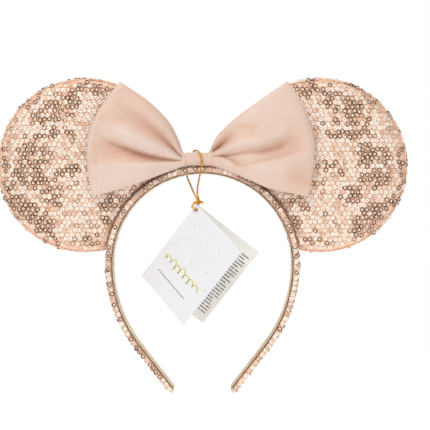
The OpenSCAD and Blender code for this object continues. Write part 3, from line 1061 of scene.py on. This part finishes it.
# Loop outlines seen from the front, x and z in mm: each edge runs from the knot outwards
LEFT_LOW = [(-8.5, 5), (-12, 3.9), (-22.6, 0.2), (-32.9, -3.9), (-41.4, -6.9), (-56.4, -11.6), (-66.3, -14.2)]
LEFT_TOP = [(-8.5, 12), (-11.6, 13.2), (-14.8, 21.5), (-20.2, 31.4), (-29.4, 41), (-37.6, 47.3), (-49.7, 55.2)]
LEFT_END = [LEFT_LOW[-1], (-68.6, -2), (-69.6, 9.3), (-69.2, 19.6), (-66, 31), (-58.8, 43.6), LEFT_TOP[-1]]
RIGHT_LOW = [(3.5, 5), (9.4, 3.4), (17, 0.8), (26.3, -3.1), (40.4, -9.3), (54.5, -12.3), (63.9, -14.2)]
RIGHT_TOP = [(3.5, 12.6), (4.6, 14.4), (9.4, 23.2), (18.7, 32.1), (28, 39.2), (37.6, 46), (51.4, 55.6)]
RIGHT_END = [RIGHT_LOW[-1], (66.6, -2), (67.9, 9), (67.9, 18.5), (65.8, 28.1), (60.1, 42.2), RIGHT_TOP[-1]]

LOOP_ACROSS = 150  # cells from the lower edge to the upper
LOOP_ALONG = 130
FOLD_GAIN = 1.35  # how much deeper the folds are than their lists say
NECK_Y = KNOT.y
LOOP_Y = KNOT.y - 6.6 * MM  # the loops lean forward, clear of the ears


def line_offset(x, z, points):
    """Signed distance in mm above a given line, and the share of the line passed, for arrays of places."""
    line = spline(points, 70)
    gaps_x = x[..., None] - line[:, 0]
    gaps_z = z[..., None] - line[:, 1]
    nearest = np.argmin(gaps_x**2 + gaps_z**2, axis=-1)
    ahead = np.gradient(line, axis=0)
    ahead /= np.linalg.norm(ahead, axis=1)[:, None]
    upward = np.stack([-ahead[:, 1], ahead[:, 0]], -1)
    upward *= np.sign(upward[:, 1:2])
    gx = np.take_along_axis(gaps_x, nearest[..., None], -1)[..., 0]
    gz = np.take_along_axis(gaps_z, nearest[..., None], -1)[..., 0]
    far = np.hypot(gx, gz)
    side = np.sign(gx * upward[nearest, 0] + gz * upward[nearest, 1])
    # Past an end of the line the distance is measured to that end, so the fold fades there
    return side * far, nearest / (len(line) - 1)


def along_line(share, values):
    """A value that changes evenly along a line, from a short list of it."""
    return np.interp(share, np.linspace(0, 1, len(values)), values)


def crease(x, z, points, depths, below, above):
    """A fold: sharp at its line, rising back over the widths below and above it (mm)."""
    off, share = line_offset(x, z, points)
    wide = np.where(off < 0, along_line(share, below), along_line(share, above))
    return -along_line(share, depths) * np.exp(-np.abs(off) / wide)


def valley(x, z, points, depths, widths):
    """A soft hollow, or a soft ridge where the depths are negative."""
    off, share = line_offset(x, z, points)
    return -along_line(share, depths) * np.exp(-((off / along_line(share, widths)) ** 2))


def facet(x, z, top, bottom, depths, above):
    """A panel that sinks evenly from its bottom line to a sharp fold at its top line."""
    off, share = line_offset(x, z, top)
    up, _ = line_offset(x, z, bottom)
    sunk = np.clip(up / np.maximum(up - off, 0.01), 0, 1) ** 0.8
    hidden = np.exp(-np.abs(off) / along_line(share, above))
    return -along_line(share, depths) * np.where(off > 0, hidden, np.where(up > 0, sunk, 0))


# The sunk panel at the foot of the left loop: its lower edge, and the fold that hangs over it
PANEL_FOOT = [(-12, 7.2), (-15.8, 7.1), (-29.2, 6.3), (-45, 6.0), (-60.2, 5.6)]
PANEL_TOP = [(-11.5, 8), (-15.8, 7.9), (-24.4, 9), (-33.9, 11), (-45.4, 14.6), (-56.4, 18.6), (-64, 22.8)]
# The line on the right loop below which its satin turns to the light again
RIGHT_TURN = [(24, 4.0), (33, 5.8), (42, 8), (54, 11.3), (65, 14.7)]
# A short fold high on the right loop, which hangs over the cloth below it
RIGHT_SHORT = [(15.5, 26.6), (19, 27.9), (24, 28.2), (30, 27.9), (36, 27.4)]


def folded(x, z, folds):
    """The height that a list of folds gives, each a kind of fold, its line or lines and its measures in mm."""
    height = 0.0
    for fold, *shape in folds:
        height = height + fold(x, z, *shape)
    return height


def left_folds(x, z):
    ridge = [(-13, 9), (-18, 11.4), (-26.5, 15.2), (-36, 18.8), (-46, 22.2), (-56, 25)]
    hollow = [(-11.8, 9.2), (-15.3, 12.2), (-19.6, 16.4), (-26.3, 21.6), (-33.9, 26.4), (-41.1, 30.8), (-53, 34.5)]
    crown = [(-14, 16), (-20, 24.5), (-28, 32.5), (-37, 39), (-48, 46)]
    rim = [(-65, 0), (-65.5, 10), (-65, 20), (-61.5, 32), (-55.5, 42)]
    foot = [(-40, -2), (-50, -4), (-60, -5)]
    panel_depths, panel_spill = [1.2, 2.4, 3.8, 4.3, 4.0, 2.8, 0.4], [0.8, 1, 1.3, 1.5, 1.9, 2.5, 3.2]
    below, above = [0.5, 0.9, 1.6, 2.5, 3, 3, 3], [0.4, 0.8, 1.6, 2.5, 3, 3, 3]
    return folded(x, z, [
        (facet, PANEL_TOP, PANEL_FOOT, panel_depths, panel_spill),
        (valley, ridge, [-0.8, -1.3, -1.8, -1.8, -1.2, 0], [1.6, 2.6, 4, 5.2, 6, 6]),
        (valley, rim, [0, 0.8, 0.9, 0.8, 0], [2, 2.2, 2.4, 2.4, 2]),
        (crease, hollow, [2.2, 2.4, 1.4, 0.6, 0.3, 0, 0], below, above),
        (valley, hollow, [0.4, 1.0, 1.9, 2.4, 2.2, 1.5, 0.6], [0.8, 1.8, 3.2, 4.4, 5.4, 6, 6.5]),
        (valley, crown, [-0.5, -0.8, -1.0, -0.7, 0], [1.5, 3, 4.5, 5.5, 6]),
        (valley, foot, [0, -0.5, 0], [4, 5, 5]),
    ])


def right_folds(x, z):
    upper = [(4.2, 11.6), (7.6, 14.2), (11.3, 17.0), (15.2, 20.6), (17.4, 24.6), (17.6, 27)]
    long = [(5, 10), (8, 10.4), (14.7, 11), (24.3, 12.3), (33.9, 13.4), (43.5, 15.2), (52, 18.4), (62.8, 23)]
    lower = [(10.8, 10.6), (14, 9.6), (17.6, 7.8), (21, 5.2), (24, 3.9), (28, 3.8)]
    ridge = [(6, 12.0), (11, 13.9), (18.5, 16.6), (26, 18.0), (34, 18.6), (44, 20.2), (54, 25)]
    low_ridge = [(27, 0.6), (36, 1.4), (48, 3.2), (60, 4.6)]
    corner = [(48, -1), (56, -3), (63, -5)]
    below, above = [0.6, 0.9, 1.4, 1.8, 2, 2.4, 3, 3], [0.5, 0.7, 1, 1.4, 1.6, 2, 3, 3]
    return folded(x, z, [
        (crease, upper, [2.4, 3.0, 2.6, 1.6, 0.8, 0], [0.5, 0.8, 1.2, 1.8, 2.2, 2.2], [0.6, 1.0, 1.8, 2.6, 3, 3]),
        (valley, upper, [0.5, 1.2, 1.6, 1.5, 1.0, 0], [1, 2, 3, 3.6, 4, 4]),
        (crease, RIGHT_SHORT, [0, 0.9, 1.2, 0.9, 0], [2, 3.5, 5, 6, 6], [0.9, 1.2, 1.7, 2.4, 3]),
        (valley, long, [0.4, 0.8, 0.9, 1.3, 2.1, 2.4, 1.5, 0], [0.8, 1.2, 2, 2.8, 3.8, 5, 6, 6]),
        (crease, long, [1.2, 1.2, 0.8, 0.5, 0.8, 0.8, 0.3, 0], below, above),
        (valley, ridge, [-0.8, -1.2, -1.5, -1.3, -0.8, -0.5, 0], [1.2, 1.8, 2.4, 3, 3.4, 4, 5]),
        (crease, lower, [0.6, 1.8, 2.3, 2.0, 1.2, 0], [0.5, 0.8, 1.1, 1.5, 2, 2.5], [1, 1.8, 2.6, 3, 3, 3]),
        (crease, RIGHT_TURN, [0.3, 1.0, 1.2, 0.9, 0.2], [0.9, 1.1, 1.4, 1.6, 1.6], [2.5, 3.5, 4.5, 5, 5]),
        (valley, low_ridge, [0, -0.7, -0.8, 0], [2.4, 3.4, 4.5, 5]),
        (valley, corner, [0, 1.0, 0.8], [7, 8, 8]),
    ])


def patch(x, z, middle_x, middle_z, wide, tall):
    """A soft-edged oval, 1 at its middle."""
    return np.exp(-(((x - middle_x) / wide) ** 2 + ((z - middle_z) / tall) ** 2))


def left_painted_shade(x, z):
    """Painted shade on the left loop, beyond what its folds give: deeper colour over its upper part and in a hollow
    there, and in the sunk panel under the hanging fold; a painted highlight along the outer rim and on the strip
    below the panel.
    """
    off, _ = line_offset(x, z, [(-12, 10), (-24, 20), (-40, 31), (-56, 40)])
    upper = 0.26 * smoothstep(off, -1, 5) + 0.14 * patch(x, z, -53, 34, 9, 6)
    over_foot, _ = line_offset(x, z, PANEL_FOOT)
    over_top, _ = line_offset(x, z, PANEL_TOP)
    panel = smoothstep(over_foot, -0.3, 0.5) * smoothstep(-over_top, -0.5, 0.5) * smoothstep(x, -67, -59)
    to_end, _ = line_offset(x, z, LEFT_END)
    lit_rim = 0.75 * np.exp(-((to_end / 2.4) ** 2)) * smoothstep(z, 5, 20)
    sunk = panel * (0.05 + 0.13 * np.exp(-np.clip(over_foot, 0, None) / 4))
    lit_strip = np.where(over_foot < 0, np.exp(np.clip(over_foot, None, 0) / 5), 0)
    return (0.08 * (1 - lit_strip) + upper + sunk) * (1 - lit_rim)


# Painted shade on the right loop: an even base of it, more along a line across the loop, on the facet just above
# RIGHT_TURN, under the short hanging fold and in a soft patch at the lower corner, and less in a small patch high on
# the loop, a painted highlight.
def right_painted_shade(x, z):
    off, _ = line_offset(x, z, [(6, 12), (20, 20), (40, 24), (62, 30)])
    over_turn, _ = line_offset(x, z, RIGHT_TURN)
    turned = smoothstep(over_turn, -0.4, 0.5) * np.exp(-np.clip(over_turn, 0, None) / 4.5)
    turned = turned * smoothstep(x, 22, 28)
    over_short, along = line_offset(x, z, RIGHT_SHORT)
    hung = np.where(over_short < 0, np.exp(np.clip(over_short, None, 0) / 3), 0) * np.sin(math.pi * along)
    painted_shade_lines = 0.1 * np.exp(-((off / 7) ** 2)) + 0.13 * turned + 0.12 * hung
    return 0.1 + painted_shade_lines + 0.22 * patch(x, z, 59, -2, 13, 11) - 0.12 * patch(x, z, 47, 26, 4, 5)


def loop_grid(low, top, end):
    """The shares of a loop's grid and its places: from the knot outwards, and from lower edge to upper."""
    u = np.sin(np.linspace(0, math.pi / 2, LOOP_ALONG + 1)) * 0.5 + np.linspace(0, 1, LOOP_ALONG + 1) * 0.5
    v = (1 - np.cos(np.linspace(0, math.pi, LOOP_ACROSS + 1))) * 0.35
    v = v + np.linspace(0, 1, LOOP_ACROSS + 1) * 0.3
    low_line, top_line, end_line = spline(low, u), spline(top, u), spline(end, v)
    neck = spline([low[0], tuple((np.array(low[0]) + np.array(top[0])) / 2), top[0]], v)
    uu, vv = u[:, None, None], v[None, :, None]
    flat = (1 - vv) * low_line[:, None] + vv * top_line[:, None] + (1 - uu) * neck[None] + uu * end_line[None]
    flat -= (1 - uu) * ((1 - vv) * neck[0] + vv * neck[-1]) + uu * ((1 - vv) * end_line[0] + vv * end_line[-1])
    x, z = flat[..., 0], flat[..., 1]
    return u[:, None] + 0 * x, v[None, :] + 0 * x, x, z


def satin_gathers(u, v, x, z, seed):
    """Small unevenness all over a loop, and gathers that fan out from its knot, in mm."""
    fine = np.zeros_like(x)
    for i, k in np.ndindex(*x.shape):
        place = Vector((x[i, k] / 11, z[i, k] / 11, seed))
        gathers = noise.noise(Vector((v[i, k] * 13, u[i, k] * 2.2, seed)))
        fine[i, k] = 0.35 * noise.noise(place) + 0.8 * gathers * math.exp(-u[i, k] / 0.22)
    return fine


def loop_form(low, top, end, folds, tint):
    """A satin loop as a closed, folded pillow: its places seen from the front, its two faces and its painted shade.
    """
    u, v, x, z = loop_grid(low, top, end)
    across = np.sqrt(np.clip(1 - np.abs(2 * v - 1) ** 5, 0, None))
    along = np.sqrt(np.clip(1 - np.clip((u - 0.5) / 0.5, 0, None) ** 9, 0, None))
    skin = across * (along * np.sqrt(smoothstep(u, -0.004, 0.05)))
    middle = NECK_Y / MM - (NECK_Y - LOOP_Y) / MM * smoothstep(u, 0, 0.5)
    swell = np.interp(u, [0, 0.12, 0.35, 0.65, 0.9, 1], [4.5, 4.7, 5.0, 5.4, 4.4, 3.4])
    crown = 0.62 + 0.38 * np.sin(math.pi * np.clip(v, 0, 1))
    neck_fade = smoothstep(u, 0.02, 0.08)
    fine = satin_gathers(u, v, x, z, low[0][0])
    relief = folds(x, z)
    front = middle - skin * (swell * crown + (FOLD_GAIN * relief + fine) * neck_fade)
    back = middle + skin * np.interp(u, [0, 0.3, 1], [2.4, 2.4, 1.9])
    back += skin * 0.5 * fine * neck_fade
    # Painted shade for the fold attribute: the loop's own painted shade, deeper where the folds sink and lighter on
    # their ridges.
    return x, z, front, back, np.clip(tint(x, z) - relief / 5.5, 0, 1) * neck_fade


def set_painted_shade(piece, values):
    """The fold attribute, which the satin's colour follows: painted shade, deeper peach where it is larger."""
    depth = piece.data.attributes.new("fold", "FLOAT", "POINT")
    depth.data.foreach_set("value", values)


def loop_mesh(name, low, top, end, folds, tint):
    x, z, front, back, shade = loop_form(low, top, end, folds, tint)
    rows, cols = x.shape
    verts = np.stack([x, front, z], -1).reshape(-1, 3)
    number = np.arange(rows * cols).reshape(rows, cols)
    rear = number.copy()
    inner = np.stack([x, back, z], -1)[1:-1, 1:-1].reshape(-1, 3)
    rear[1:-1, 1:-1] = rows * cols + np.arange(len(inner)).reshape(rows - 2, cols - 2)
    faces = []
    for grid, flip in ((number, False), (rear, True)):
        quads = np.stack([grid[:-1, :-1], grid[1:, :-1], grid[1:, 1:], grid[:-1, 1:]], -1).reshape(-1, 4)
        faces.append(quads[:, ::-1] if flip else quads)
    quads = np.concatenate(faces)
    quads = quads if low[-1][0] > 0 else quads[:, ::-1]
    loop = add_mesh(name, np.concatenate([verts, inner]) * MM, quads, SATIN)
    set_painted_shade(loop, np.concatenate([shade.ravel(), 0.15 + 0 * inner[:, 0]]))
    return loop


def build_bow():
    for name, lines, looks in (
        ("left", (LEFT_LOW, LEFT_TOP, LEFT_END), (left_folds, left_painted_shade)),
        ("right", (RIGHT_LOW, RIGHT_TOP, RIGHT_END), (right_folds, right_painted_shade)),
    ):
        loop = loop_mesh(f"bow_{name}_loop_satin", *lines, *looks)
        ride(loop, "band")
        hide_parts(f"bow_{name}_loop")
    build_knot_wrap()


def build_knot_wrap():
    """The strip of satin wound round the bow's middle, with soft gathers along it."""
    xs = np.linspace(-1, 1, 60)
    angle = np.linspace(0, 2 * math.pi, 96, endpoint=False)
    rings = []
    for t in xs:
        lip = math.sqrt(max(0.02, 1 - abs(t) ** 14))
        flare = 1 + 0.06 * t * t
        y, z = rounded(angle, KNOT_HALF.y * flare * lip, KNOT_HALF.z * flare * lip, 2.6)
        ring = np.stack([np.full_like(y, KNOT.x + t * (KNOT_HALF.x + 0.4 * MM)), KNOT.y + y, KNOT.z + z], -1)
        for p, a in zip(ring, angle):
            gather = noise.noise(Vector((t * 5.5, 1.1 * math.cos(a), 1.1 * math.sin(a))))
            p[1:] += np.array([math.cos(a), math.sin(a)]) * 0.34 * MM * gather * lip
        rings.append(ring)
    wrap = add_mesh("bow_knot_satin", *tube(np.array(rings)), SATIN)
    set_painted_shade(wrap, np.full(len(wrap.data.vertices), 0.25))
    ride(wrap, "band")
    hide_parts("bow_knot_wrap")


# ---------- the hang tag ----------
FRONT_OUT = turned_out(-FRONT_TURN)
BACK_OUT = turned_out(BACK_TURN)
# The way each leaf points, the way its printed face looks, and how far that face stands from the fold's plane
FRONT_LEAF = (FRONT_OUT, -FOLD_AXIS.cross(FRONT_OUT), CARD_T)
BACK_LEAF = (BACK_OUT, -FOLD_AXIS.cross(BACK_OUT), 0)
PRINT_T = 0.035 * MM
PRINT_SUNK = -0.02 * MM  # print starts a little inside the card


def on_leaf(u, v, leaf, height):
    """A place on a leaf: u mm out from the fold, v mm along it from the eye, so high above the face."""
    out, face, lift = leaf
    return tuple(EYE + out * (u * MM) + FOLD_AXIS * (v * MM) + face * (lift + height))


def print_strip(points, width, leaf):
    """A thin raised line of print on a leaf, width in mm."""
    p = np.array(points, float)
    ahead = np.gradient(p, axis=0)
    ahead /= np.linalg.norm(ahead, axis=1)[:, None]
    over = np.stack([-ahead[:, 1], ahead[:, 0]], -1)
    wide = np.full(len(p), width / 2) if np.isscalar(width) else np.asarray(width) / 2
    rows = []
    for q, w, o in zip(p, wide, over):
        for side, height in ((-1, PRINT_SUNK), (-1, PRINT_T), (1, PRINT_T), (1, PRINT_SUNK)):
            rows.append(on_leaf(*(q + side * w * o), leaf, height))
    return tube(np.array(rows).reshape(len(p), 4, 3))


def print_dot(u, v, radius, leaf):
    rows = []
    for height in (PRINT_SUNK, PRINT_T):
        for a in np.linspace(0, 2 * math.pi, 14, endpoint=False):
            rows.append(on_leaf(u + radius * math.cos(a), v + radius * math.sin(a), leaf, height))
    return tube(np.array(rows).reshape(2, 14, 3))


def print_piece(name, parts, mat, body):
    ride(add_mesh(name, *join_parts(parts), mat), body)


def flourish():
    """A plain gold wave, taller in its middle and thicker and thinner as it goes."""
    t = np.linspace(0, 1, 420)
    swing = 2 * math.pi * 7.5 * t
    tall = 1.5 + 1.4 * np.sin(2 * math.pi * 2.2 * t + 0.6) ** 2
    height = tall * np.cos(swing) * (0.4 + 0.6 * np.sin(math.pi * t))
    curl = np.stack([4.5 + 36 * t + 1.25 * np.sin(swing), height - 33.4], -1)
    return print_strip(curl, 0.5 + 0.3 * np.abs(np.sin(swing / 2 + 0.5)), FRONT_LEAF)


def grey_bars():
    """Plain bars in rows, of uneven length, where the photo has print."""
    rng = random.Random(5)
    parts = []
    for k in range(22):
        v = -48.4 + 2.1 * k
        u = 22 + rng.uniform(0, 2)
        while u < 44:
            bar = min(rng.uniform(4.0, 10.0), 45.6 - u)
            parts.append(print_strip([(u, v), (u + bar, v)], 0.9, BACK_LEAF))
            u += bar + 0.7
    return parts


def build_tag_prints():
    """A gold flourish, a row of dashes and a few dots on the front leaf, and grey bars inside the back leaf."""
    spots = [(8.4, -23.2), (21.3, -13.5), (35.5, -7), (24.6, -24.4), (38.0, -21.6), (23.5, -5.0)]
    spots += [(8.5, -7.2), (44, -4), (15, -17.5), (45, -30), (30.5, -16.5)]
    dots = [print_dot(u, v, 0.42, FRONT_LEAF) for u, v in spots]
    print_piece("tag_gold_dots", dots, FOIL, "tag_front")
    print_piece("tag_gold_flourish", [flourish()], FOIL, "tag_front")
    starts = [8 + 1.82 * k for k in range(16)]
    dashes = [print_strip([(u, -43.3), (u + 1.2, -43.3)], 0.75, FRONT_LEAF) for u in starts]
    print_piece("tag_ruled_dashes", dashes, INK, "tag_front")
    print_piece("tag_grey_bars", grey_bars(), INK, "tag_back")


# ---------- materials of the CAD nodes that stay ----------


def finish_cad_nodes():
    looks = {
        "core": CORE,
        "ear_board": FELT,
        "stitches": THREAD,
        "gather_thread": THREAD,
        "front_leaf": CARD,
        "back_leaf": CARD_BACK,
    }
    for name, node in frame["nodes"].items():
        for ending, mat in looks.items():
            if ending in name:
                node.data.materials.clear()
                node.data.materials.append(mat)


def build_floor():
    """A plain round floor, a little below the tips."""
    rim = np.linspace(0, 2 * math.pi, 96, endpoint=False)
    corners = [(FLOOR_R * math.cos(a), FLOOR_R * math.sin(a), FLOOR_Z) for a in rim]
    add_mesh("floor", corners, [tuple(range(96))], FLOOR)


build_band()
build_band_sequins()
build_ears()
build_bow()
build_tag_prints()
finish_cad_nodes()
build_floor()
